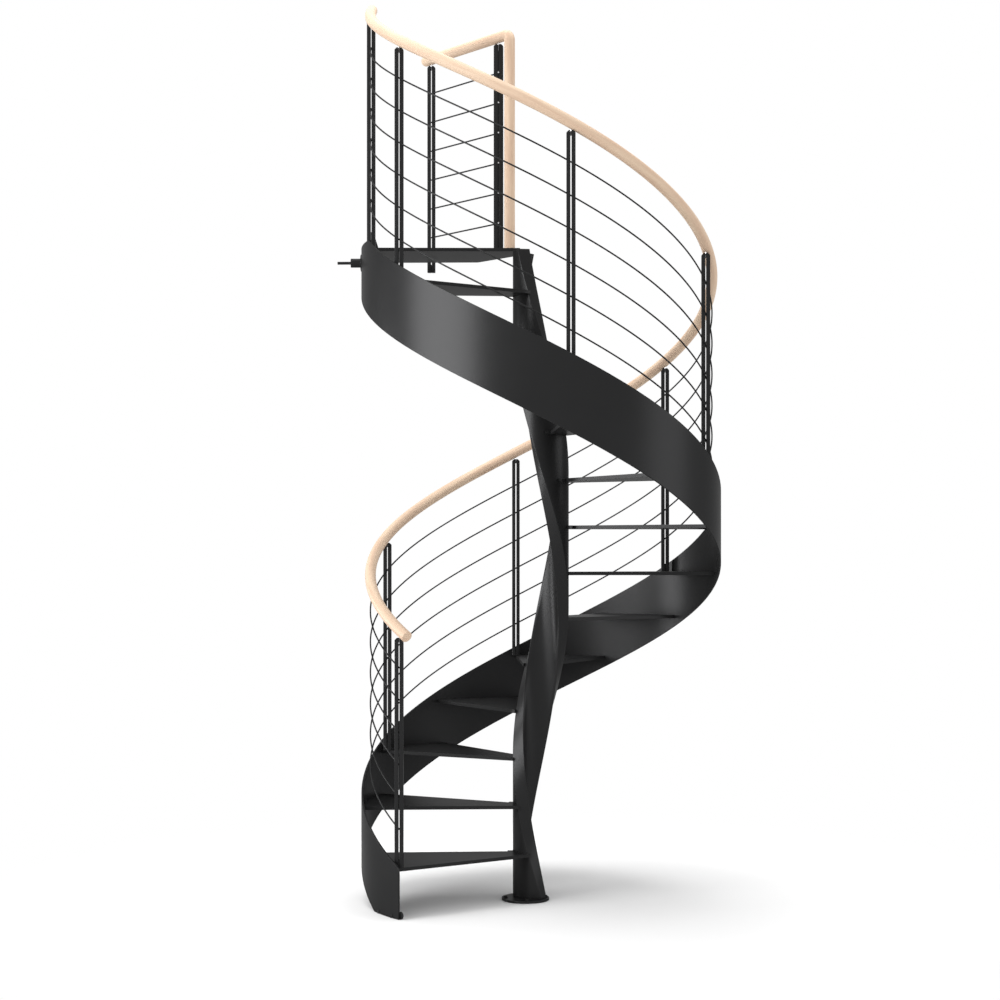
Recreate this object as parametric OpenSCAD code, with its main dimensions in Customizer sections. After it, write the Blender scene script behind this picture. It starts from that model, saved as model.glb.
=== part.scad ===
// Spiral staircase: thirteen wedge treads and a landing between a twisted
// folded spine and a helical outer band, with a wooden handrail on twin-bar posts.
// Millimetres, +Z up, origin at the centre of the foot flange on the floor.

/* [Stair] */
// Outer radius of the stair, over the outer band
stair_r = 800; // [650:10:1100]
// Height from one tread to the next
rise = 207; // [170:1:230]
// Turn from one tread to the next, in degrees
step_angle = 30; // [26:0.5:32]

/* [Treads and landing] */
// Thickness of a tread and of the landing
tread_t = 15; // [8:0.5:30]
// How far the nose line of a tread passes in front of the stair axis
nose_off = 72; // [40:1:90]
// How far the rear line of a tread passes in front of the stair axis
rear_off = 32; // [10:1:60]
// Width of the collar by which a tread hugs the spine
collar_w = 25; // [10:1:60]
// Depth of the landing behind the stair axis
landing_depth = 293; // [200:1:450]
// How far left of the axis the landing's inner corner lies
landing_inner = 291; // [200:1:400]
// Radius of the landing's round end over the spine
landing_end_r = 93; // [85:1:120]

/* [Spine] */
// Outer radius of the spine's curved face about the stair axis
spine_r = 125; // [90:1:180]
// Thickness of the free edges of the spine's two lips
spine_t = 9; // [5:0.5:16]
// Radius of the free edges of the spine's two lips
lip_r = 80; // [55:1:110]
// Depth of the hollow between the two lips
hollow_depth = 22; // [8:1:34]

/* [Foot flange] */
// Radius of the foot flange
flange_r = 105; // [95:1:160]
// Thickness of the foot flange
flange_t = 10; // [6:0.5:25]
// Distance of the flange centre from the stair axis
flange_off = 105; // [80:1:130]
// Diameter of the bolt circle
bolt_pcd = 176; // [160:1:240]
// Radius of a bolt hole
bolt_r = 6; // [4:0.5:10]

/* [Outer band] */
// Height of the band
band_h = 320; // [200:5:450]
// Thickness of the band
band_t = 8; // [4:0.5:16]
// Height of the band's top edge over the first tread, at the band's lower end
band_lip = 9.7; // [2:0.1:40]
// Rounding of the band's lower top corner
band_corner = 25; // [5:1:60]
// Length of the gusset at the band's upper end
gusset_l = 126; // [60:1:160]
// Height of the gusset at the band's upper end
gusset_h = 105; // [40:1:130]

/* [Balustrade] */
// How far inside the stair's outer radius the posts, rods and handrail run
rail_inset = 40; // [30:1:60]
// Height of the handrail's centre over the nose of a tread
rail_h = 1002; // [850:1:1150]
// Radius of the handrail
rail_r = 25; // [18:0.5:35]
// Height of the landing rail's centre over the landing
landing_rail_h = 965; // [850:1:1100]
// How far left of the axis the landing rail's pole stands
pole_left = 140; // [138:1:220]
// How far behind the axis the landing rail's pole stands
pole_back = 25; // [24:1:60]
// How far left of the axis the far landing post stands
side_left = 516; // [420:1:650]
// How far behind the axis the far landing post stands
side_back = 421; // [330:1:520]
// Radius of the bend at the head of the landing rail's pole
bend_r = 28; // [27:1:80]
// Radius of an infill rod
rod_r = 3.4; // [2:0.1:6]
// Height from one infill rod to the next
rod_gap = 136; // [90:1:160]
// Height from the top infill rod to the handrail's centre
rod_drop = 160; // [100:1:200]
// Thickness of each of a post's two bars
bar_t = 14; // [8:0.5:24]
// Depth of a post's bars
post_w = 26; // [18:0.5:45]
// Rounding of a post's long edges
post_edge = 6; // [2:0.5:12]
// Bevel of a post's upper corners
post_top = 9; // [3:0.5:13]
// Height of the blocks that join a post's two bars
block_h = 36; // [15:1:60]
// Radius of the stem between a post and the handrail
stem_r = 3; // [2:0.1:4]
// How far the far landing post reaches below the landing's top
side_drop = 40; // [20:1:90]

/* [Wall fixing] */
// Radius of the washer on the band
washer_r = 38; // [20:1:60]
// Thickness of the washer
washer_t = 6; // [3:0.5:15]
// Radius of the spacer bush
bush_r = 20; // [12:0.5:35]
// Length of the spacer bush
bush_l = 45; // [20:1:120]
// Radius of the wall stud
stud_r = 6.5; // [4:0.5:12]
// Length of the wall stud
stud_l = 60; // [30:1:150]
// Depth of the wall fixing below the landing's top
stud_drop = 65; // [55:1:120]

/* [Foot bracket] */
// Radius of the half-round floor tab inside the band's lower end
tab_r = 26; // [15:1:50]
// Thickness of the floor tab
tab_t = 6; // [3:0.5:15]

/* [Hidden] */
// Working gap left between curved neighbours
gap = 0.3;
tread_count = 13;
nose_dir = 213.8;
wedge_share = 0.9717;
reach_share = 1.5;
rear_dir = nose_dir - step_angle * wedge_share;
landing_z = rise * (tread_count + 1);
landing_under = landing_z - tread_t;
spine_top = landing_under - gap;

// Angles around the axis fall as the stair climbs.
spine_mid = 229.65;
spine_half_angle = 43.55;
lip_turn = 16.3;
collar_from_angle = 188;
collar_to_angle = 243;
band_start_angle = 222;
band_end_angle = -203;
band_pitch_share = 1.0133;
landing_near_dir = 182;
landing_join_angle = 130;
slant_share = 1.3;
tab_turn = 3;
rail_start_angle = 223.4;
rail_end_angle = -184;
end_post_angle = -180;
gusset_angle = 163.5;

// Places that follow from the sizes above.
axis_x = flange_off * cos(spine_mid + 180);
axis_y = flange_off * sin(spine_mid + 180);
rail_path_r = stair_r - rail_inset;
band_in = stair_r - band_t;
gusset_in = sqrt(pow(stair_r, 2) - pow(gusset_l / 2, 2)) - band_t - gap;
tread_out = band_in - gap;
tread_in = spine_r + gap;
reach = stair_r * reach_share;
landing_corner = [-landing_inner, landing_depth];
post_gap = 2 * (rod_r + 3 * gap);
rod_hole_r = post_gap / 2 - gap / 3;
post_d = 2 * bar_t + post_gap;
post_half = asin(post_w / 2 / rail_path_r);
post_angle = nose_dir + asin(nose_off / rail_path_r) - post_half;
rail_slope = atan(rise / (rail_path_r * step_angle * PI / 180));
stem_drop = rail_r / cos(rail_slope) + stem_r * tan(rail_slope) + gap;
post_drop = rail_r / cos(rail_slope) + post_w / 2 * tan(rail_slope) + 2 * gap;
level_stem_drop = rail_r + gap;
level_post_drop = rail_r + post_edge;
rod_count = 6;

// Landing balustrade: a line from the pole to the far post, which stands clear of the landing.
pole_xy = [-pole_left, pole_back];
side_xy = [-side_left, side_back];
line_dir = atan2(side_xy[1] - pole_xy[1], side_xy[0] - pole_xy[0]);
line_len = norm(side_xy - pole_xy);
inner_post_share = 0.136;
overhang_share = 0.067;

dark = [0.17, 0.17, 0.18];
wood = [0.90, 0.78, 0.62];

// Helpers
function pol(r, a) = [r * cos(a), r * sin(a)];
function at(p, z) = [p[0], p[1], z];
function side(a) = [-sin(a), cos(a)];
function turn(p, a) = [p[0] * cos(a) - p[1] * sin(a), p[0] * sin(a) + p[1] * cos(a)];

module on_axis() {
    translate([axis_x, axis_y, 0]) children();
}

// A skin over a row of like sections, closed at both ends.
module sweep(rows) {
    n = len(rows[0]);
    m = len(rows);
    walls = [for (i = [0:m - 2]) for (j = [0:n - 1])
        let (k = (j + 1) % n)
        each [[i * n + j, (i + 1) * n + k, i * n + k],
              [i * n + j, (i + 1) * n + j, (i + 1) * n + k]]];
    low = [for (j = [0:n - 1]) j];
    high = [for (j = [0:n - 1]) m * n - 1 - j];
    polyhedron(points = [for (s = rows) each s], faces = concat(walls, [low, high]));
}

// Foot flange
module foot_flange() {
    color(dark) difference() {
        cylinder(r = flange_r, h = flange_t, $fn = 96);
        for (k = [0:3])
            rotate(spine_mid + 45 + 90 * k)
                translate([bolt_pcd / 2, 0, -flange_t / 2])
                    cylinder(r = bolt_r, h = 2 * flange_t, $fn = 32);
    }
}

// Spine: a curved face, two lips and a shallow hollow back, twisting with the treads
lip_root = pol(spine_r, spine_half_angle);
lip_edge = pol(lip_r, spine_half_angle + lip_turn);
lip_run = (lip_edge - lip_root) / norm(lip_edge - lip_root);
lip_in = lip_edge + spine_t * [-lip_run[1], lip_run[0]];
hollow_r = (pow(lip_in[1], 2) + pow(hollow_depth, 2)) / (2 * hollow_depth);
hollow_mid = [lip_in[0] + hollow_depth - hollow_r, 0];
hollow_angle = asin(lip_in[1] / hollow_r);
arc_steps = 8;
spine_section = concat(
    [for (i = [0:arc_steps]) pol(spine_r, spine_half_angle * (2 * i / arc_steps - 1))],
    [lip_edge],
    [for (i = [0:arc_steps]) hollow_mid + pol(hollow_r, hollow_angle * (1 - 2 * i / arc_steps))],
    [[lip_edge[0], -lip_edge[1]]]
);
spine_rings = 76;

module spine() {
    color(dark) on_axis()
        sweep([for (i = [0:spine_rings])
            let (z = flange_t + (spine_top - flange_t) * i / spine_rings)
            [for (p = spine_section) at(turn(p, spine_mid - step_angle * z / rise), z)]]);
}

// Treads
module sector(r, from, to) {
    far = 2 * r;
    mid = (from + to) / 2;
    polygon([[0, 0], pol(far, from), pol(far, mid), pol(far, to)]);
}

module tread_plan() {
    nose = side(nose_dir) * nose_off;
    rear = side(rear_dir) * rear_off;
    difference() {
        union() {
            intersection() {
                circle(r = tread_out, $fn = 180);
                polygon([rear, rear + pol(reach, rear_dir), nose + pol(reach, nose_dir), nose]);
            }
            intersection() {
                circle(r = spine_r + collar_w, $fn = 96);
                sector(spine_r + collar_w, collar_from_angle, collar_to_angle);
            }
        }
        circle(r = tread_in, $fn = 96);
    }
}

module tread(k) {
    color(dark) on_axis()
        translate([0, 0, rise * k - tread_t])
            rotate(-step_angle * (k - 1))
                linear_extrude(height = tread_t) tread_plan();
}

// Landing, with the small gusset at the band's upper end
module landing_plan() {
    difference() {
        intersection() {
            circle(r = stair_r, $fn = 180);
            polygon([
                [0, 0],
                pol(reach, landing_near_dir),
                [-reach, landing_depth],
                landing_corner,
                landing_corner + (pol(tread_in, landing_join_angle) - landing_corner) * slant_share
            ]);
        }
        circle(r = landing_end_r, $fn = 96);
    }
}

module gusset_face() {
    polygon([
        [-gusset_l / 2, 0], [gusset_l / 2, 0], [gusset_l / 2, gusset_h],
        [-gusset_l / 2 + gusset_h - band_t, gusset_h], [-gusset_l / 2, band_t]
    ]);
}

module landing_plate() {
    color(dark) on_axis() {
        translate([0, 0, landing_under])
            linear_extrude(height = tread_t) landing_plan();
        rotate(gusset_angle) translate([gusset_in, 0, landing_z + gap / 3])
            rotate([90, 0, 90]) linear_extrude(height = band_t) gusset_face();
    }
}

// Outer band
function band_helix(a) = rise + band_lip + (band_start_angle - a) / step_angle * rise * band_pitch_share;
function corner_dip(s) =
    s >= band_corner ? 0 : band_corner - sqrt(pow(band_corner, 2) - pow(band_corner - s, 2));
function band_top(a) =
    min(band_helix(a), landing_under) - corner_dip((band_start_angle - a) * PI / 180 * stair_r);
function band_foot(a) = max(band_helix(a) - band_h, 0);
function band_row(a) = [
    at(pol(band_in, a), band_foot(a)),
    at(pol(stair_r, a), band_foot(a)),
    at(pol(stair_r, a), band_top(a)),
    at(pol(band_in, a), band_top(a))
];
band_count = 7;
band_span = (band_start_angle - band_end_angle) / band_count;
band_steps = 20;
corner_angle = band_corner / stair_r * 180 / PI;

module outer_band(k) {
    from = band_start_angle - band_span * (k - 1);
    corner = k == 1 ? [for (i = [0:5]) from - corner_angle * (1 - cos(15 * i))] : [];
    first = k == 1 ? from - corner_angle : from;
    along = [for (i = [0:band_steps]) first + (from - band_span - first) * i / band_steps];
    color(dark) on_axis()
        sweep([for (a = concat(corner, along)) band_row(a)]);
}

// Posts: two bars with a gap for the rods, joined by blocks, with a stem on top
module rounded(l, w, r) {
    square([l - 2 * r, w], center = true);
    square([l, w - 2 * r], center = true);
    for (x = [-1, 1]) for (y = [-1, 1])
        translate([x * (l / 2 - r), y * (w / 2 - r)]) circle(r = r, $fn = 32);
}

module post_body(h, stem_top) {
    difference() {
        linear_extrude(height = h) rounded(post_d, post_w, post_edge);
        translate([-post_gap / 2, -post_w, block_h])
            cube([post_gap, 2 * post_w, h - 2 * block_h]);
        translate([-post_gap / 2, -post_w, h - 2 * post_top])
            cube([post_gap, 2 * post_w, block_h]);
        for (x = [-1, 1])
            translate([x * post_d / 2, 0, h - post_top]) rotate([0, x * 45, 0])
                translate([0, 0, post_d / 2]) cube([post_d * 2, post_w * 2, post_d], center = true);
    }
    translate([0, 0, h - 2 * post_top])
        cylinder(r = stem_r, h = stem_top - h + 2 * post_top, $fn = 24);
}

// The way of a rod through a post, along dir and climbing by slope
module rod_way(dir, slope) {
    rotate(dir) rotate([0, 90 - slope, 0])
        cylinder(r = rod_hole_r, h = 4 * post_d, center = true, $fn = 24);
}

function rail_z(a) = rise + rail_h + (post_angle - a) / step_angle * rise;
function post_lead(k) = k > 1 && k < 7 ? post_half : 0;
function post_at(k) =
    k == 8 ? end_post_angle : post_angle + post_lead(k) - 2 * step_angle * (k - 1);
function post_foot(k) = k == 8 ? landing_z : rise * (2 * k - 1);

module post(k) {
    a = post_at(k);
    foot = post_foot(k);
    top = rail_z(a);
    color(dark) on_axis()
        translate(at(pol(rail_path_r, a), foot)) difference() {
            post_body(top - post_drop - foot, top - stem_drop - foot);
            for (i = [0:rod_count - 1])
                translate([0, 0, top - foot - rod_drop - rod_gap * i]) rod_way(a - 90, rail_slope);
        }
}

module landing_post(k) {
    p = k == 1 ? pole_xy + pol(line_len * inner_post_share, line_dir) : side_xy;
    foot = k == 1 ? landing_z : landing_z - side_drop;
    top = landing_z + landing_rail_h;
    color(dark) on_axis()
        translate(at(p, foot)) difference() {
            post_body(top - level_post_drop - foot, top - level_stem_drop - foot);
            for (i = [0:rod_count - 1])
                translate([0, 0, top - foot - rod_drop - rod_gap * i]) rod_way(line_dir, 0);
        }
}

// Handrail
rail_count = 4;
rail_sides = 12;
rail_span = (rail_start_angle - rail_end_angle) / rail_count;
rail_steps = 20;
function rail_row(a, r) =
    [for (j = [0:rail_sides - 1])
        let (t = 360 * j / rail_sides)
        at(pol(rail_path_r + r * cos(t), a), rail_z(a) + r / cos(rail_slope) * sin(t))];
nose_angle = rail_r * cos(rail_slope) / rail_path_r * 180 / PI;

module handrail(k) {
    from = rail_start_angle - rail_span * (k - 1);
    to = from - rail_span + (k == rail_count ? nose_angle : 0);
    along = [for (i = [0:rail_steps]) rail_row(from + (to - from) * i / rail_steps, rail_r)];
    tip = k == rail_count
        ? [for (i = [1:5]) rail_row(to - nose_angle * sin(15 * i), rail_r * cos(15 * i))]
        : [];
    color(wood) on_axis() sweep(concat(along, tip));
}

// Landing rail: a level rail, a bend and a pole standing on the landing
module landing_rail() {
    z = landing_z + landing_rail_h;
    over = line_len * (1 + overhang_share);
    color(wood) on_axis() translate(at(pole_xy, 0)) rotate(line_dir) {
        translate([0, 0, landing_z]) cylinder(r = rail_r, h = landing_rail_h - bend_r, $fn = 48);
        translate([bend_r, 0, z - bend_r]) rotate([90, 0, 0]) rotate(90)
            rotate_extrude(angle = 90, $fn = 96) translate([bend_r, 0]) circle(r = rail_r, $fn = 48);
        translate([bend_r, 0, z]) rotate([0, 90, 0]) cylinder(r = rail_r, h = over - bend_r, $fn = 48);
        translate([over, 0, z]) sphere(r = rail_r, $fn = 48);
    }
}

// Infill rods
rod_sides = 6;
function rod_row(a, z) =
    [for (j = [0:rod_sides - 1])
        let (t = 360 * j / rod_sides)
        at(pol(rail_path_r + rod_r * cos(t), a), z + rod_r / cos(rail_slope) * sin(t))];
rod_steps = 12;

module infill(k) {
    from = post_at(k);
    to = post_at(k + 1);
    color(dark) on_axis()
        for (i = [0:rod_count - 1])
            sweep([for (j = [0:rod_steps])
                let (a = from + (to - from) * j / rod_steps)
                rod_row(a, rail_z(a) - rod_drop - rod_gap * i)]);
}

module landing_infill() {
    first = line_len * inner_post_share;
    color(dark) on_axis() translate(at(pole_xy, landing_z + landing_rail_h)) rotate(line_dir)
        for (i = [0:rod_count - 1])
            translate([first, 0, -rod_drop - rod_gap * i]) rotate([0, 90, 0])
                cylinder(r = rod_r, h = line_len - first, $fn = 24);
}

// Wall fixing and foot bracket
module wall_fixing() {
    color(dark) on_axis()
        translate([-stair_r - gap / 3, 0, landing_z - stud_drop]) rotate([0, -90, 0]) {
            cylinder(r = washer_r, h = washer_t, $fn = 64);
            translate([0, 0, washer_t]) cylinder(r = bush_r, h = bush_l, $fn = 48);
            translate([0, 0, washer_t + bush_l]) cylinder(r = stud_r, h = stud_l, $fn = 32);
        }
}

module foot_bracket() {
    inner = sqrt(pow(band_in - gap, 2) - pow(tab_r, 2)) - gap;
    color(dark) on_axis() rotate(band_start_angle - tab_turn) translate([inner, 0, 0])
        linear_extrude(height = tab_t) difference() {
            intersection() {
                circle(r = tab_r, $fn = 48);
                translate([-2 * tab_r, -tab_r]) square([2 * tab_r, 2 * tab_r]);
            }
            translate([-tab_r / 2, 0]) circle(r = tab_r / 6, $fn = 24);
        }
}

foot_flange();
spine();
tread(1);  // tread_01
tread(2);  // tread_02
tread(3);  // tread_03
tread(4);  // tread_04
tread(5);  // tread_05
tread(6);  // tread_06
tread(7);  // tread_07
tread(8);  // tread_08
tread(9);  // tread_09
tread(10);  // tread_10
tread(11);  // tread_11
tread(12);  // tread_12
tread(13);  // tread_13
landing_plate();
outer_band(1);  // outer_band_1
outer_band(2);  // outer_band_2
outer_band(3);  // outer_band_3
outer_band(4);  // outer_band_4
outer_band(5);  // outer_band_5
outer_band(6);  // outer_band_6
outer_band(7);  // outer_band_7
post(1);  // post_1
post(2);  // post_2
post(3);  // post_3
post(4);  // post_4
post(5);  // post_5
post(6);  // post_6
post(7);  // post_7
post(8);  // post_8
landing_post(1);  // landing_post_1
landing_post(2);  // landing_post_2
handrail(1);  // handrail_1
handrail(2);  // handrail_2
handrail(3);  // handrail_3
handrail(4);  // handrail_4
landing_rail();
infill(1);  // infill_1
infill(2);  // infill_2
infill(3);  // infill_3
infill(4);  // infill_4
infill(5);  // infill_5
infill(6);  // infill_6
infill(7);  // infill_7
landing_infill();
wall_fixing();
foot_bracket();
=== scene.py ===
import math
import bpy
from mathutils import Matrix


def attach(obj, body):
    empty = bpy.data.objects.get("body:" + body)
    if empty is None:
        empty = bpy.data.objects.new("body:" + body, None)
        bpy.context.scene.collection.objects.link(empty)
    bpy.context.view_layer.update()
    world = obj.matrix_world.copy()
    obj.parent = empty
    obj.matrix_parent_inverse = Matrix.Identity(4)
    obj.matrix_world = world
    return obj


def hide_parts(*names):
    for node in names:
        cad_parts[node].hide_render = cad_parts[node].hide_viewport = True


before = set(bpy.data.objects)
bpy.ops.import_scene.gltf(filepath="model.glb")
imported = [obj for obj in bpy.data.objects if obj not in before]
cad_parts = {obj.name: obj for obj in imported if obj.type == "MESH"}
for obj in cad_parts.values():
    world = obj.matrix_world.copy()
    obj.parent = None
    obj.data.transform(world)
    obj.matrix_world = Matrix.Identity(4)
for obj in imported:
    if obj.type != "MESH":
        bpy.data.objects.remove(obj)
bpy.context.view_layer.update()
print("stage: frame loaded")

# Sizes that several pieces share, in metres and degrees
stair = {
    "axisX": 0.06799, "axisY": 0.08002,  # the stair axis in the part's frame
    "rise": 0.207, "step": 30.0,
    "outer": 0.8, "bandIn": 0.792,
    "plate": 0.015, "landingZ": 2.898,
    "railPath": 0.76, "railR": 0.024, "railUp": 1.002,
    "noseDir": 213.8, "noseOff": 0.072, "postDepth": 0.026,
    "gap": 0.0003, "near": 1e-4,  # clearance at a seat, and a match of two places
}
postHalf = math.degrees(math.asin(stair["postDepth"] / 2 / stair["railPath"]))
noseTurn = math.degrees(math.asin(stair["noseOff"] / stair["railPath"]))
postAngle = stair["noseDir"] + noseTurn - postHalf
railSlope = math.atan(stair["rise"] / (stair["railPath"] * math.radians(stair["step"])))


def polar(r, a):
    return r * math.cos(math.radians(a)), r * math.sin(math.radians(a))


def railZ(a):
    return stair["rise"] + stair["railUp"] + (postAngle - a) / stair["step"] * stair["rise"]


def near(a, b):
    return abs(a - b) < stair["near"]


def nodesOf(stem):
    return sorted(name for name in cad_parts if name.startswith(stem))


# Modelling helpers
def activate(obj):
    if bpy.context.object and bpy.context.object.mode != "OBJECT":
        bpy.ops.object.mode_set(mode="OBJECT")
    bpy.ops.object.select_all(action="DESELECT")
    obj.select_set(True)
    bpy.context.view_layer.objects.active = obj


def bake(obj):
    activate(obj)
    bpy.ops.object.transform_apply(location=True, rotation=True, scale=True)


def applyModifier(obj, kind, **settings):
    activate(obj)
    modifier = obj.modifiers.new(kind.lower(), kind)
    for key, value in settings.items():
        setattr(modifier, key, value)
    bpy.ops.object.modifier_apply(modifier=modifier.name)


def box(centre, size):
    bpy.ops.object.select_all(action="DESELECT")
    bpy.ops.mesh.primitive_cube_add(size=1, location=centre)
    obj = bpy.context.object
    obj.scale = size
    bake(obj)
    return obj


def cylinder(centre, r, h, sides=48, turn=(0, 0, 0)):
    bpy.ops.object.select_all(action="DESELECT")
    bpy.ops.mesh.primitive_cylinder_add(vertices=sides, radius=r, depth=h, location=centre,
                                        rotation=turn)
    obj = bpy.context.object
    bake(obj)
    return obj


def ring(centre, r, sides, stretch=1.0):
    bpy.ops.object.select_all(action="DESELECT")
    bpy.ops.mesh.primitive_circle_add(vertices=sides, radius=r, location=centre,
                                      rotation=(math.pi / 2, 0, 0))
    obj = bpy.context.object
    obj.scale = (1, stretch, 1)
    bake(obj)
    return obj


def joined(objs):
    activate(objs[0])
    for o in objs[1:]:
        o.select_set(True)
    if len(objs) > 1:
        bpy.ops.object.join()
    return objs[0]


def climb(obj, turn, lift, steps):
    applyModifier(obj, "SCREW", axis="Z", angle=-math.radians(turn), screw_offset=lift,
                  steps=steps, render_steps=steps, use_smooth_shade=True, use_normal_calculate=False)
    bpy.ops.object.mode_set(mode="EDIT")
    bpy.ops.mesh.select_all(action="SELECT")
    bpy.ops.mesh.fill_holes(sides=0)
    bpy.ops.mesh.select_all(action="SELECT")
    bpy.ops.mesh.normals_make_consistent(inside=False)
    bpy.ops.object.mode_set(mode="OBJECT")


def cut(obj, point, normal, outer=True):
    activate(obj)
    bpy.ops.object.mode_set(mode="EDIT")
    bpy.ops.mesh.select_all(action="SELECT")
    bpy.ops.mesh.bisect(plane_co=point, plane_no=normal, use_fill=True,
                        clear_outer=outer, clear_inner=not outer)
    bpy.ops.object.mode_set(mode="OBJECT")


def carve(obj, tool, how="DIFFERENCE"):
    applyModifier(obj, "BOOLEAN", object=tool, operation=how, solver="EXACT")
    bpy.data.objects.remove(tool)


def bevelEdges(obj, test, offset, segments):
    activate(obj)
    mesh = obj.data
    for part in (mesh.vertices, mesh.edges, mesh.polygons):
        for item in part:
            item.select = False
    for e in mesh.edges:
        a, b = (mesh.vertices[i].co for i in e.vertices)
        if test(a, b):
            e.select = True
    bpy.context.tool_settings.mesh_select_mode = (False, True, False)
    bpy.ops.object.mode_set(mode="EDIT")
    bpy.ops.mesh.bevel(offset=offset, segments=segments, affect="EDGES")
    bpy.ops.object.mode_set(mode="OBJECT")


def soften(obj, width, angle=40, segments=2):
    applyModifier(obj, "BEVEL", width=width, segments=segments, limit_method="ANGLE",
                  angle_limit=math.radians(angle), harden_normals=False)


def shade(obj, angle=21):
    activate(obj)
    bpy.ops.object.shade_smooth_by_angle(angle=math.radians(angle))


def settle(obj, name, material, nodes=(), turn=0.0, shift=(0, 0, 0)):
    obj.rotation_euler = (0, 0, math.radians(turn))
    obj.location = (stair["axisX"] + shift[0], stair["axisY"] + shift[1], shift[2])
    bake(obj)
    obj.name = name
    obj.data.name = name
    obj.data.materials.clear()
    obj.data.materials.append(material)
    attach(obj, "root")
    if nodes:
        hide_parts(*nodes)
    return obj


# Shader maths
class Sock:
    def __init__(self, tree, out):
        self.tree = tree
        self.out = out

    def node(self, kind, settings=None, inputs=None, result=0):
        made = self.tree.nodes.new(kind)
        for key, value in (settings or {}).items():
            setattr(made, key, value)
        for key, value in (inputs or {}).items():
            if isinstance(value, Sock):
                self.tree.links.new(value.out, made.inputs[key])
            else:
                made.inputs[key].default_value = value
        return Sock(self.tree, made.outputs[result])

    def maths(self, how, a, b):
        return self.node("ShaderNodeMath", {"operation": how}, {0: a, 1: b})

    def __add__(self, other):
        return self.maths("ADD", self, other)

    def __radd__(self, other):
        return self.maths("ADD", other, self)

    def __sub__(self, other):
        return self.maths("SUBTRACT", self, other)

    def __rsub__(self, other):
        return self.maths("SUBTRACT", other, self)

    def __mul__(self, other):
        return self.maths("MULTIPLY", self, other)

    def __rmul__(self, other):
        return self.maths("MULTIPLY", other, self)


def newMaterial(name, **values):
    material = bpy.data.materials.new(name)
    material.use_nodes = True
    tree = material.node_tree
    shader = tree.nodes["Principled BSDF"]
    for key, value in values.items():
        shader.inputs[key.replace("_", " ")].default_value = value
    place = tree.nodes.new("ShaderNodeTexCoord")
    return material, tree, shader, Sock(tree, place.outputs["Object"])


def feed(tree, shader, name, sock):
    tree.links.new(sock.out, shader.inputs[name])


def noise(place, scale, detail):
    return place.node("ShaderNodeTexNoise", None, {"Vector": place, "Scale": scale, "Detail": detail})


def stretched(place, scale):
    return place.node("ShaderNodeMapping", None, {"Vector": place, "Scale": scale})


def ramp(wave, start, end, most):
    return wave.node("ShaderNodeMapRange", None, {0: wave, 1: start, 2: end, 3: 0.0, 4: most})


def blendColours(factor, first, second):
    return factor.node("ShaderNodeMix", {"data_type": "RGBA"}, {0: factor, 6: first, 7: second}, 2)


def around(level, span, wave):
    return level + (wave - 0.5) * span  # a noise is 0.5 on average


# Satin graphite paint
graphiteLook = {"dark": (0.0228, 0.0229, 0.0233, 1), "light": (0.0266, 0.0267, 0.0271, 1),
                "edge": (0.6, 0.6, 0.6, 1), "metal": 0.4, "mirror": 0.0,
                "cloud": 5.0, "cloudDetail": 4.0, "grain": 900.0, "grainDetail": 2.0,
                "rough": 0.33, "roughSpan": 0.05, "bump": 0.03, "bumpDepth": 0.0004}
graphite, tree, shader, place = newMaterial(
    "graphite", Metallic=graphiteLook["metal"], Specular_Tint=graphiteLook["edge"],
    Specular_IOR_Level=graphiteLook["mirror"])
cloud = noise(place, graphiteLook["cloud"], graphiteLook["cloudDetail"])
grain = noise(place, graphiteLook["grain"], graphiteLook["grainDetail"])
feed(tree, shader, "Base Color", blendColours(cloud, graphiteLook["dark"], graphiteLook["light"]))
feed(tree, shader, "Roughness", around(graphiteLook["rough"], graphiteLook["roughSpan"], cloud))
bump = place.node("ShaderNodeBump", None, {"Strength": graphiteLook["bump"],
                                           "Distance": graphiteLook["bumpDepth"], "Height": grain})
feed(tree, shader, "Normal", bump)

# Pale lacquered beech, with the grain along the UV map's length
beechLook = {"pale": (0.745, 0.57, 0.42, 1), "warm": (0.64, 0.45, 0.325, 1),
             "fleck": (0.66, 0.46, 0.32, 1), "rough": 0.5, "gloss": 0.08,
             "streak": (3.2, 38.0, 1.0), "streakDetail": 5.0,
             "warmFrom": 0.38, "warmTo": 0.62, "warmMost": 0.8,
             "fine": (5.0, 160.0, 1.0), "fineDetail": 2.0,
             "fleckFrom": 0.6, "fleckTo": 0.78, "fleckMost": 0.35}
beech, tree, shader, place = newMaterial("beech", Roughness=beechLook["rough"],
                                         Specular_IOR_Level=beechLook["gloss"])
uv = Sock(tree, tree.nodes.new("ShaderNodeUVMap").outputs[0])
streak = noise(stretched(uv, beechLook["streak"]), 1.0, beechLook["streakDetail"])
fleck = noise(stretched(uv, beechLook["fine"]), 1.0, beechLook["fineDetail"])
warmth = ramp(streak, beechLook["warmFrom"], beechLook["warmTo"], beechLook["warmMost"])
fleckMask = ramp(fleck, beechLook["fleckFrom"], beechLook["fleckTo"], beechLook["fleckMost"])
tone = blendColours(warmth, beechLook["pale"], beechLook["warm"])
feed(tree, shader, "Base Color", blendColours(fleckMask, tone, beechLook["fleck"]))

# Bright stainless for stems and buttons
steelLook = {"colour": (0.62, 0.62, 0.63, 1), "rough": 0.25, "roughSpan": 0.1,
             "brush": 400.0, "detail": 2.0}
bright, tree, shader, place = newMaterial("brightSteel", Metallic=1.0, Base_Color=steelLook["colour"])
brushed = noise(place, steelLook["brush"], steelLook["detail"])
feed(tree, shader, "Roughness", around(steelLook["rough"], steelLook["roughSpan"], brushed))

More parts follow.
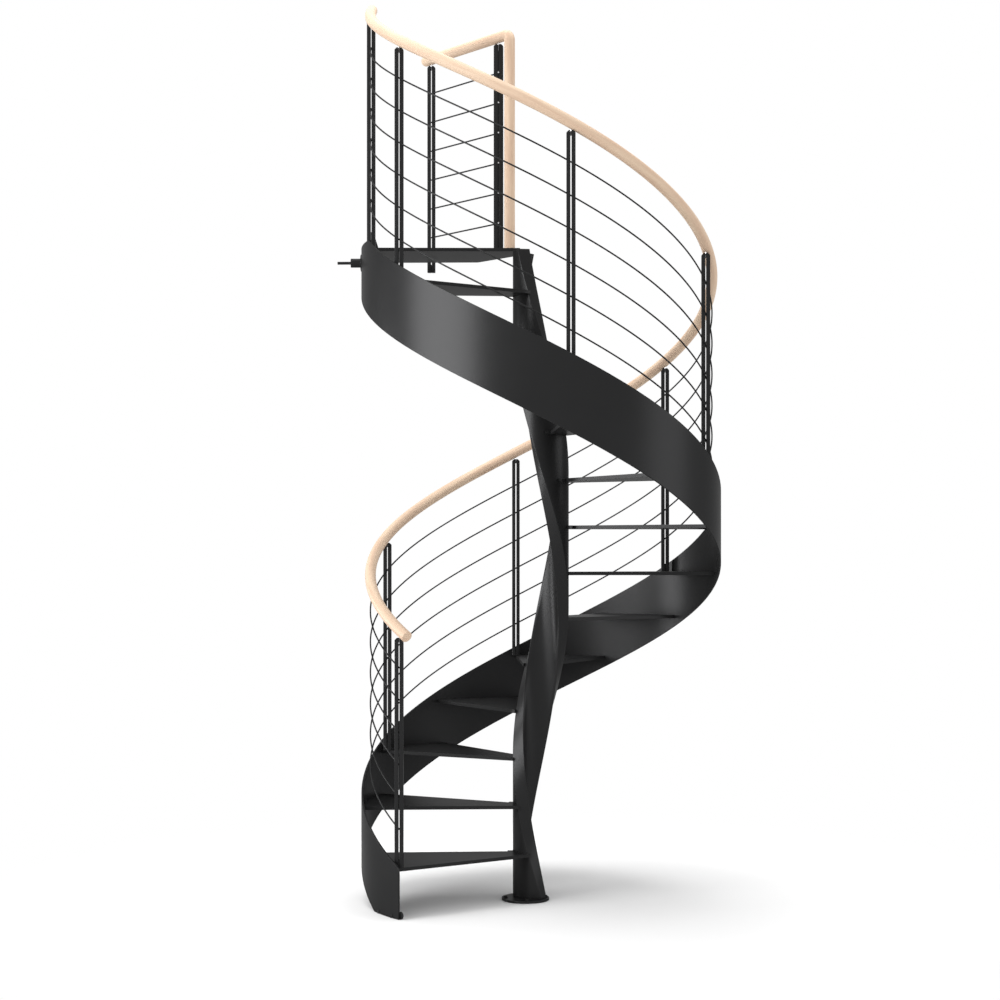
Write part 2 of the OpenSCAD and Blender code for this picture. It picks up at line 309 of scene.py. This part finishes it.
# Blackened steel for the small screws
blackLook = {"colour": (0.008, 0.008, 0.009, 1), "rough": 0.45, "roughSpan": 0.1,
             "speck": 300.0, "detail": 2.0}
blackSteel, tree, shader, place = newMaterial("blackSteel", Metallic=1.0,
                                              Base_Color=blackLook["colour"])
speck = noise(place, blackLook["speck"], blackLook["detail"])
feed(tree, shader, "Roughness", around(blackLook["rough"], blackLook["roughSpan"], speck))
print("stage: materials")

# Outer band
band = {"height": 0.32, "lip": 0.0097, "start": 222.0, "end": -203.0, "pitch": 1.0133,
        "corner": 0.025, "cornerSteps": 8, "edge": 0.0008, "steps": 340}
bandTurn = band["start"] - band["end"]
bandTop = stair["rise"] + band["lip"]
bpy.ops.object.select_all(action="DESELECT")
bandMiddle = ((stair["outer"] + stair["bandIn"]) / 2, 0, bandTop - band["height"] / 2)
bpy.ops.mesh.primitive_plane_add(size=1, rotation=(math.pi / 2, 0, 0), location=bandMiddle)
outerBand = bpy.context.object
outerBand.scale = (stair["outer"] - stair["bandIn"], band["height"], 1)
bake(outerBand)
climb(outerBand, bandTurn, bandTurn / stair["step"] * stair["rise"] * band["pitch"], band["steps"])
cut(outerBand, (0, 0, 0), (0, 0, 1), outer=False)
cut(outerBand, (0, 0, stair["landingZ"] - stair["plate"]), (0, 0, 1))


def topOfFoot(co):
    return near(co.y, 0) and co.x > 0 and near(co.z, bandTop)


bevelEdges(outerBand, lambda a, b: topOfFoot(a) and topOfFoot(b), band["corner"], band["cornerSteps"])
soften(outerBand, band["edge"])
shade(outerBand)
settle(outerBand, "outerBand", graphite, nodesOf("outer_band_"),
       turn=band["start"])
print("stage: outer band")

# Spine, with two lips and a hollow back, which twists with the treads
spineSize = {"r": 0.125, "sheet": 0.009, "half": 43.55, "lipR": 0.08, "lipTurn": 16.3,
             "hollow": 0.022, "mid": 229.65, "foot": 0.010, "steps": 280, "arc": 24,
             "edge": 0.001, "sharp": 50}


def spineSection():
    root = polar(spineSize["r"], spineSize["half"])
    edge = polar(spineSize["lipR"], spineSize["half"] + spineSize["lipTurn"])
    run = math.hypot(edge[0] - root[0], edge[1] - root[1])
    d = ((edge[0] - root[0]) / run, (edge[1] - root[1]) / run)
    inner = (edge[0] - d[1] * spineSize["sheet"], edge[1] + d[0] * spineSize["sheet"])
    bowl = (inner[1] ** 2 + spineSize["hollow"] ** 2) / (2 * spineSize["hollow"])
    middle = inner[0] + spineSize["hollow"] - bowl
    sweep = math.degrees(math.asin(inner[1] / bowl))
    n = spineSize["arc"]
    outerArc = [polar(spineSize["r"], spineSize["half"] * (2 * i / n - 1)) for i in range(n + 1)]
    innerArc = [polar(bowl, sweep * (1 - 2 * i / n)) for i in range(n + 1)]
    return outerArc + [edge] + [(middle + x, y) for x, y in innerArc] + [(edge[0], -edge[1])]


section = spineSection()
bpy.ops.object.select_all(action="DESELECT")
bpy.ops.mesh.primitive_circle_add(vertices=len(section), radius=spineSize["r"])
spine = bpy.context.object
for v, p in zip(spine.data.vertices, section):
    v.co = (p[0], p[1], spineSize["foot"])
spineLift = stair["landingZ"] - stair["plate"] - stair["gap"] - spineSize["foot"]
climb(spine, spineLift / stair["rise"] * stair["step"], spineLift, spineSize["steps"])
soften(spine, spineSize["edge"], spineSize["sharp"])
shade(spine)
settle(spine, "spine", graphite, ["spine"],
       turn=spineSize["mid"] - spineSize["foot"] / stair["rise"] * stair["step"])
print("stage: spine")

# Treads
treadSize = {"count": 13, "outer": 0.7917, "inner": 0.1253, "collar": 0.150, "collarFrom": 188.0,
             "collarTo": 243.0, "rearOff": 0.032, "wedge": 29.15, "edge": 0.0012,
             "sides": 360, "innerSides": 120, "boreH": 0.1}


def plateBlank(r, sides):
    return cylinder((0, 0, -stair["plate"] / 2), r, stair["plate"], sides)


def bore(obj, r):
    carve(obj, cylinder((0, 0, 0), r, treadSize["boreH"], treadSize["innerSides"]))


def lineNormal(a):
    return -math.sin(math.radians(a)), math.cos(math.radians(a)), 0


tread = plateBlank(treadSize["outer"], treadSize["sides"])
n = lineNormal(stair["noseDir"])
cut(tread, tuple(c * stair["noseOff"] for c in n), n)
n = lineNormal(stair["noseDir"] - treadSize["wedge"])
cut(tread, tuple(c * treadSize["rearOff"] for c in n), n, outer=False)
collar = plateBlank(treadSize["collar"], treadSize["innerSides"])
cut(collar, (0, 0, 0), lineNormal(treadSize["collarTo"]))
cut(collar, (0, 0, 0), lineNormal(treadSize["collarFrom"]), outer=False)
carve(tread, collar, "UNION")
bore(tread, treadSize["inner"])
soften(tread, treadSize["edge"])
shade(tread)
treads = [tread]
for k in range(1, treadSize["count"]):
    activate(tread)
    bpy.ops.object.duplicate()
    treads.append(bpy.context.object)
for k, piece in enumerate(treads):
    settle(piece, "tread%02d" % (k + 1), graphite, ["tread_%02d" % (k + 1)],
           turn=-stair["step"] * k, shift=(0, 0, stair["rise"] * (k + 1)))
print("stage: treads")

# Landing and its gusset
landingSize = {"nearDir": 182.0, "depth": 0.293, "inner": -0.291, "join": 130.0, "edge": 0.0012,
               "endR": 0.093, "gussetAngle": 163.5, "gussetL": 0.126, "gussetH": 0.105,
               "gussetIn": 0.7893, "gussetT": 0.008, "gussetEdge": 0.001}
landing = plateBlank(stair["outer"], treadSize["sides"])
cut(landing, (0, 0, 0), lineNormal(landingSize["nearDir"]))
cut(landing, (0, landingSize["depth"], 0), (0, 1, 0))
corner = (landingSize["inner"], landingSize["depth"])
joint = polar(treadSize["inner"], landingSize["join"])
slant = (corner[1] - joint[1], joint[0] - corner[0], 0)
cut(landing, (corner[0], corner[1], 0), slant)
bore(landing, landingSize["endR"])
soften(landing, landingSize["edge"])
shade(landing)
gusset = box((landingSize["gussetIn"] + landingSize["gussetT"] / 2, 0, landingSize["gussetH"] / 2),
             (landingSize["gussetT"], landingSize["gussetL"], landingSize["gussetH"]))
cut(gusset, (0, -landingSize["gussetL"] / 2, landingSize["gussetT"]), (0, -1, 1))
soften(gusset, landingSize["gussetEdge"])
gusset.rotation_euler = (0, 0, math.radians(landingSize["gussetAngle"]))
bake(gusset)
landing = joined([landing, gusset])
settle(landing, "landingPlate", graphite, ["landing_plate"],
       shift=(0, 0, stair["landingZ"]))
print("stage: landing")

# Posts, each of two bars with a bright stem in the gap
postSize = {"count": 8, "every": 2, "lastAngle": -180.0, "bar": 0.016, "gap": 0.005,
            "edge": 0.003, "edgeSteps": 3, "tipEdge": 0.0008, "tipSharp": 50,
            "topDrop": 0.008, "top": 0.009, "block": 0.036, "blockShare": 0.7,
            "stem": 0.0024, "stemSides": 20, "sunk": 0.02, "railGap": 0.0006,
            "rods": 6, "rodDrop": 0.160, "rodGap": 0.136, "closedBar": 0.019, "closedSunk": 0.03,
            "button": 0.0033, "buttonSides": 16, "buttonOut": 0.002}


def makePost(height, closed):
    bar = postSize["closedBar"] if closed else postSize["bar"]
    half = postSize["gap"] / 2 + bar / 2
    parts = []
    for side in (-1, 1):
        flat = box((side * half, 0, height / 2), (bar, stair["postDepth"], height))
        outer = side * (half + bar / 2)
        bevelEdges(flat, lambda a, b: near(a.x, outer) and near(b.x, outer) and near(a.y, b.y),
                   postSize["edge"], postSize["edgeSteps"])
        cut(flat, (outer, 0, height - postSize["top"]), (side, 0, 1))
        soften(flat, postSize["tipEdge"], postSize["tipSharp"])
        parts.append(flat)
    fill = height - postSize["closedSunk"] if closed else postSize["block"]
    fillDepth = stair["postDepth"] * postSize["blockShare"]
    parts.append(box((0, 0, fill / 2), (postSize["gap"], fillDepth, fill)))
    return joined(parts)


def makeStem(height, stemTop, buttons):
    rise = stemTop - height + (postSize["closedSunk"] if buttons else postSize["sunk"])
    parts = [cylinder((0, 0, stemTop - rise / 2), postSize["stem"], rise, postSize["stemSides"])]
    for z in buttons:
        parts.append(cylinder((0, 0, z), postSize["button"], stair["postDepth"] + postSize["buttonOut"],
                              postSize["buttonSides"], (math.pi / 2, 0, 0)))
    return joined(parts)


def standPost(name, node, xy, foot, top, drop, stemDrop, buttons=()):
    height = top - drop - foot
    stemTop = top - stemDrop - foot
    post = makePost(height, bool(buttons))
    shade(post)
    settle(post, name, graphite, [node], shift=(xy[0], xy[1], foot))
    stem = makeStem(height, stemTop, buttons)
    shade(stem)
    settle(stem, name + "Stem", bright, shift=(xy[0], xy[1], foot))


railDrop = stair["railR"] / math.cos(railSlope)
slopedDrop = railDrop + stair["postDepth"] / 2 * math.tan(railSlope) + postSize["railGap"]
slopedStem = railDrop + postSize["stem"] * math.tan(railSlope)
last = postSize["count"] - 1
for k in range(postSize["count"]):
    lead = postHalf if 0 < k < last - 1 else 0.0  # the middle posts stand on the nose line
    a = postSize["lastAngle"] if k == last else postAngle + lead - postSize["every"] * stair["step"] * k
    foot = stair["landingZ"] if k == last else stair["rise"] * (postSize["every"] * k + 1)
    standPost("post%d" % (k + 1), "post_%d" % (k + 1), polar(stair["railPath"], a), foot, railZ(a),
              slopedDrop, slopedStem)

landingLine = {"pole": (-0.140, 0.025), "side": (-0.516, 0.421), "innerShare": 0.136, "overhang": 0.067,
               "height": 0.965, "bend": 0.028, "bendSteps": 16, "sideDrop": 0.040}
lineX = landingLine["side"][0] - landingLine["pole"][0]
lineY = landingLine["side"][1] - landingLine["pole"][1]
lineLen = math.hypot(lineX, lineY)
lineDir = math.degrees(math.atan2(lineY, lineX))
innerPost = (landingLine["pole"][0] + lineX * landingLine["innerShare"],
             landingLine["pole"][1] + lineY * landingLine["innerShare"])
rodHeights = [landingLine["height"] - postSize["rodDrop"] - postSize["rodGap"] * i
              for i in range(postSize["rods"])]
landingTop = stair["landingZ"] + landingLine["height"]
landingDrop = stair["railR"] + postSize["topDrop"]
standPost("landingPost1", "landing_post_1", innerPost, stair["landingZ"], landingTop,
          landingDrop, stair["railR"], rodHeights)
standPost("landingPost2", "landing_post_2", landingLine["side"],
          stair["landingZ"] - landingLine["sideDrop"], landingTop, landingDrop, stair["railR"])
print("stage: posts")

# Handrail
rail = {"start": 224.2, "end": -184.0, "sides": 40, "steps": 300,
        "edge": 0.003, "edgeSteps": 3, "sharp": 60, "trim": 1.7, "saw": 0.1, "mapTurn": 40.0}


def railBall(centre):
    bpy.ops.object.select_all(action="DESELECT")
    bpy.ops.mesh.primitive_uv_sphere_add(segments=rail["sides"], ring_count=rail["sides"] // 2,
                                         radius=stair["railR"], location=centre)
    obj = bpy.context.object
    bake(obj)
    return obj


domeAngle = math.degrees(stair["railR"] * math.cos(railSlope) / stair["railPath"])
railTurn = rail["start"] - rail["end"] - domeAngle
handrail = ring((stair["railPath"], 0, railZ(rail["start"])), stair["railR"], rail["sides"],
                1 / math.cos(railSlope))
climb(handrail, railTurn, railTurn / stair["step"] * stair["rise"], rail["steps"])
x, y = polar(stair["railPath"], -rail["trim"])
block = box((0, rail["saw"] / 2, 0), (rail["saw"], rail["saw"], 2 * rail["saw"]))
block.rotation_euler = (-railSlope, 0, math.radians(-rail["trim"]))
block.location = (x, y, railZ(rail["start"] - rail["trim"]))
bake(block)
carve(handrail, block)  # the lower end is sawn square to the rail
soften(handrail, rail["edge"], rail["sharp"], rail["edgeSteps"])
dome = railBall((*polar(stair["railPath"], -railTurn), railZ(rail["end"] + domeAngle)))
handrail = joined([handrail, dome])
shade(handrail)


def lengthMap(obj, along):
    layer = obj.data.uv_layers.get("UVMap") or obj.data.uv_layers.new(name="UVMap")
    for loop in obj.data.loops:
        layer.data[loop.index].uv = along(obj.data.vertices[loop.vertex_index].co)


def railAlong(co):
    a = math.degrees(math.atan2(co.y, co.x))
    rough = -(co.z - railZ(rail["start"])) / stair["rise"] * stair["step"]
    a += 360 * round((rough - a) / 360)
    lift = co.z - (railZ(rail["start"]) - a / stair["step"] * stair["rise"])
    about = math.atan2(lift, math.hypot(co.x, co.y) - stair["railPath"])
    return -math.radians(a) * stair["railPath"], about / rail["mapTurn"]


lengthMap(handrail, railAlong)
settle(handrail, "handrail", beech, nodesOf("handrail_"),
       turn=rail["start"])

# Landing rail with its bend and pole
poleTop = landingLine["height"] - landingLine["bend"]
pole = cylinder((0, 0, poleTop / 2), stair["railR"], poleTop, rail["sides"])
bpy.ops.object.select_all(action="DESELECT")
bpy.ops.mesh.primitive_circle_add(vertices=rail["sides"], radius=stair["railR"],
                                  location=(0, 0, poleTop))
elbow = bpy.context.object
bake(elbow)
activate(elbow)
bpy.ops.object.mode_set(mode="EDIT")
bpy.ops.mesh.select_all(action="SELECT")
bpy.ops.mesh.spin(steps=landingLine["bendSteps"], angle=-math.pi / 2,
                  center=(landingLine["bend"], 0, poleTop), axis=(0, 1, 0))
bpy.ops.mesh.select_all(action="SELECT")
bpy.ops.mesh.normals_make_consistent(inside=False)
bpy.ops.object.mode_set(mode="OBJECT")
levelLen = lineLen * (1 + landingLine["overhang"]) - landingLine["bend"]
level = cylinder((landingLine["bend"] + levelLen / 2, 0, landingLine["height"]), stair["railR"],
                 levelLen, rail["sides"], (0, math.pi / 2, 0))
ball = railBall((landingLine["bend"] + levelLen, 0, landingLine["height"]))
landingRail = joined([pole, elbow, level, ball])
shade(landingRail)


def poleAlong(co):
    if co.x > landingLine["bend"]:
        return poleTop + co.x, math.atan2(co.z - landingLine["height"], co.y) / rail["mapTurn"]
    return co.z, math.atan2(co.x, co.y) / rail["mapTurn"]


lengthMap(landingRail, poleAlong)
settle(landingRail, "landingRail", beech, ["landing_rail"], turn=lineDir,
       shift=(landingLine["pole"][0], landingLine["pole"][1], stair["landingZ"]))
print("stage: rails")

# Infill rods
rods = {"r": 0.0034, "sides": 10, "straightSides": 16, "steps": 300, "smooth": 60}
rodTurn = postAngle - postSize["lastAngle"]
circles = []
for i in range(postSize["rods"]):
    z = railZ(postAngle) - postSize["rodDrop"] - postSize["rodGap"] * i
    circles.append(ring((stair["railPath"], 0, z), rods["r"], rods["sides"], 1 / math.cos(railSlope)))
infill = joined(circles)
climb(infill, rodTurn, rodTurn / stair["step"] * stair["rise"], rods["steps"])
shade(infill, rods["smooth"])
settle(infill, "infillRods", graphite, nodesOf("infill_"),
       turn=postAngle)

firstPost = lineLen * landingLine["innerShare"]
straight = []
for z in rodHeights:
    straight.append(cylinder(((firstPost + lineLen) / 2, 0, z), rods["r"], lineLen - firstPost,
                             rods["straightSides"], (0, math.pi / 2, 0)))
landingInfill = joined(straight)
shade(landingInfill, rods["smooth"])
settle(landingInfill, "landingRods", graphite, ["landing_infill"], turn=lineDir,
       shift=(landingLine["pole"][0], landingLine["pole"][1], stair["landingZ"]))
print("stage: rods")

# Foot flange with its bolts
flange = {"r": 0.105, "t": 0.010, "sides": 128, "edge": 0.0012,
          "bolts": 4, "boltTurn": 45, "pcd": 0.176, "head": 0.009, "headH": 0.0065, "headSides": 6,
          "washer": 0.011, "washerT": 0.002, "washerSides": 32}
plate = cylinder((0, 0, flange["t"] / 2), flange["r"], flange["t"], flange["sides"])
soften(plate, flange["edge"])
parts = [plate]
washerTop = flange["t"] + flange["washerT"]
for k in range(flange["bolts"]):
    x, y = polar(flange["pcd"] / 2, spineSize["mid"] + flange["boltTurn"] + 360 / flange["bolts"] * k)
    parts.append(cylinder((x, y, flange["t"] + flange["washerT"] / 2), flange["washer"],
                          flange["washerT"], flange["washerSides"]))
    parts.append(cylinder((x, y, washerTop + flange["headH"] / 2), flange["head"], flange["headH"],
                          flange["headSides"]))
footFlange = joined(parts)
shade(footFlange)
settle(footFlange, "footFlange", graphite, ["foot_flange"],
       shift=(-stair["axisX"], -stair["axisY"], 0))

# Foot bracket with its bolt and lug, and the band's foot screws
bracket = {"angle": 219.0, "tab": 0.026, "tabSides": 64, "t": 0.006, "edge": 0.0008, "bandGap": 0.0083,
           "boltR": 0.0065, "boltH": 0.006, "boltSides": 6,
           "lugAngle": 222.0, "lugR": 0.016, "lugT": 0.006, "lugIn": 0.0125,
           "lugSides": 48, "lugEdge": 0.0006,
           "screwAngles": (218.4, 210.5), "screwR": 0.008, "screwH": 0.003,
           "screwSides": 24, "screwEdge": 0.0006}
inner = stair["outer"] - bracket["bandGap"]
seat = math.sqrt(inner ** 2 - bracket["tab"] ** 2) - stair["gap"]
tab = cylinder((seat, 0, bracket["t"] / 2), bracket["tab"], bracket["t"], bracket["tabSides"])
cut(tab, (seat, 0, 0), (1, 0, 0))
soften(tab, bracket["edge"])
bolt = cylinder((seat - bracket["tab"] / 2, 0, bracket["t"] + bracket["boltH"] / 2), bracket["boltR"],
                bracket["boltH"], bracket["boltSides"])
lugTurn = bracket["lugAngle"] - bracket["angle"]
x, y = polar(stair["outer"] - bracket["lugIn"], lugTurn)
lug = cylinder((x, y, bracket["lugR"]), bracket["lugR"], bracket["lugT"], bracket["lugSides"],
               (0, math.pi / 2, math.radians(lugTurn)))
soften(lug, bracket["lugEdge"])
footBracket = joined([tab, bolt, lug])
shade(footBracket)
settle(footBracket, "footBracket", graphite, ["foot_bracket"], turn=bracket["angle"])
screws = []
for a in bracket["screwAngles"]:
    x, y = polar(stair["outer"] + bracket["screwH"] / 2, a)
    screws.append(cylinder((x, y, bracket["screwR"]), bracket["screwR"], bracket["screwH"],
                           bracket["screwSides"], (0, math.pi / 2, math.radians(a))))
footScrews = joined(screws)
soften(footScrews, bracket["screwEdge"])
shade(footScrews)
settle(footScrews, "footScrews", blackSteel)

# Wall fixing, from the band outwards: radius, length and sides of washer, bush and stud
fixing = {"z": 2.833, "edge": 0.001,
          "rounds": ((0.038, 0.006, 64), (0.020, 0.045, 48), (0.0065, 0.060, 32))}
x = -stair["outer"]
parts = []
for r, length, sides in fixing["rounds"]:
    parts.append(cylinder((x - length / 2, 0, fixing["z"]), r, length, sides, (0, -math.pi / 2, 0)))
    x -= length
wallFixing = joined(parts)
soften(wallFixing, fixing["edge"])
shade(wallFixing)
settle(wallFixing, "wallFixing", graphite, ["wall_fixing"])
print("stage: fittings")

# Stage: floor, light and camera
floorSize = {"colour": (0.9, 0.9, 0.9, 1), "rough": 0.6, "mirror": 0.0, "size": 12.0, "drop": 0.0005,
             "fadeFrom": 1.2, "fadeTo": 2.6}
bpy.ops.object.select_all(action="DESELECT")
bpy.ops.mesh.primitive_plane_add(size=floorSize["size"], location=(0, 0, -floorSize["drop"]))
floor = bpy.context.object
floor.name = "floor"
floorLook, tree, shader, place = newMaterial("paleFloor", Roughness=floorSize["rough"],
                                             Base_Color=floorSize["colour"],
                                             Specular_IOR_Level=floorSize["mirror"])
away = place.node("ShaderNodeVectorMath", {"operation": "LENGTH"}, {0: place}, 1)
fade = place.node("ShaderNodeMapRange", {"interpolation_type": "SMOOTHSTEP"},
                  {0: away, 1: floorSize["fadeFrom"], 2: floorSize["fadeTo"], 3: 1.0, 4: 0.0})
feed(tree, shader, "Alpha", fade)
floor.data.materials.append(floorLook)

worldLook = {"colour": (1, 1, 1, 1), "white": 1.0, "fill": 0.9}
world = bpy.data.worlds.new("studio")
bpy.context.scene.world = world
world.use_nodes = True
nodes = world.node_tree.nodes
links = world.node_tree.links
nodes.clear()
path = nodes.new("ShaderNodeLightPath")
seen = Sock(world.node_tree, path.outputs["Is Camera Ray"])
mirrored = Sock(world.node_tree, path.outputs["Is Glossy Ray"])
through = Sock(world.node_tree, path.outputs["Is Transmission Ray"])
direct = seen.node("ShaderNodeMath", {"operation": "MINIMUM"}, {0: seen + mirrored + through, 1: 1.0})
backs = {}
for name in ("white", "fill"):
    backs[name] = nodes.new("ShaderNodeBackground")
    backs[name].inputs["Color"].default_value = worldLook["colour"]
    backs[name].inputs["Strength"].default_value = worldLook[name]
blend = nodes.new("ShaderNodeMixShader")
links.new(direct.out, blend.inputs[0])
links.new(backs["fill"].outputs[0], blend.inputs[1])
links.new(backs["white"].outputs[0], blend.inputs[2])
surface = nodes.new("ShaderNodeOutputWorld")
links.new(blend.outputs[0], surface.inputs["Surface"])

# The key lights wood and floor, the cards are only mirrored, and the top light does both
lights = {
    "keyLight": {"at": (-6.2, -3.0, 3.6), "aim": (0, 0, 1.6), "wide": 4.6, "tall": 1.7, "power": 235.0,
                 "hidden": "visible_glossy"},
    "tallCard": {"at": (-5.55, -3.1, 3.2), "aim": (0, 0, 3.2), "wide": 5.1, "tall": 3.9, "power": 960.0,
                 "hidden": "visible_diffuse"},
    "backCard": {"at": (-5.25, 1.5, 1.6), "aim": (0, 0, 1.6), "wide": 1.5, "tall": 2.4, "power": 200.0,
                 "hidden": "visible_diffuse"},
    "sideCard": {"at": (5.9, -0.9, 2.75), "aim": (0, 0, 2.75), "wide": 3.2, "tall": 3.6, "power": 130.0,
                 "hidden": "visible_diffuse"},
    "topLight": {"at": (-0.4, 0.6, 7.5), "aim": (0, 0, 0), "wide": 4.5, "tall": 4.5, "power": 260.0,
                 "hidden": None},
}
for name, light in lights.items():
    bpy.ops.object.light_add(type="AREA", location=light["at"])
    lamp = bpy.context.object
    lamp.name = name
    lamp.data.shape = "RECTANGLE"
    lamp.data.size = light["wide"]
    lamp.data.size_y = light["tall"]
    lamp.data.energy = light["power"]
    dx, dy, dz = (light["aim"][i] - light["at"][i] for i in range(3))
    lamp.rotation_euler = (math.atan2(math.hypot(dx, dy), -dz), 0, math.atan2(-dx, dy))
    if light["hidden"]:
        setattr(lamp, light["hidden"], False)

camera = {"distance": 7.849, "height": 1.504, "yaw": 1.332,
          "lens": 63.165, "sensor": 36.0, "shift": 0.05963}
eyePlace = (stair["axisX"], stair["axisY"] - camera["distance"], camera["height"])
bpy.ops.object.camera_add(location=eyePlace, rotation=(math.pi / 2, 0, math.radians(camera["yaw"])))
eye = bpy.context.object
eye.data.lens = camera["lens"]
eye.data.sensor_width = camera["sensor"]
eye.data.shift_y = camera["shift"]
bpy.context.scene.camera = eye
bpy.context.scene.view_settings.view_transform = "Standard"
print("stage: light and camera")
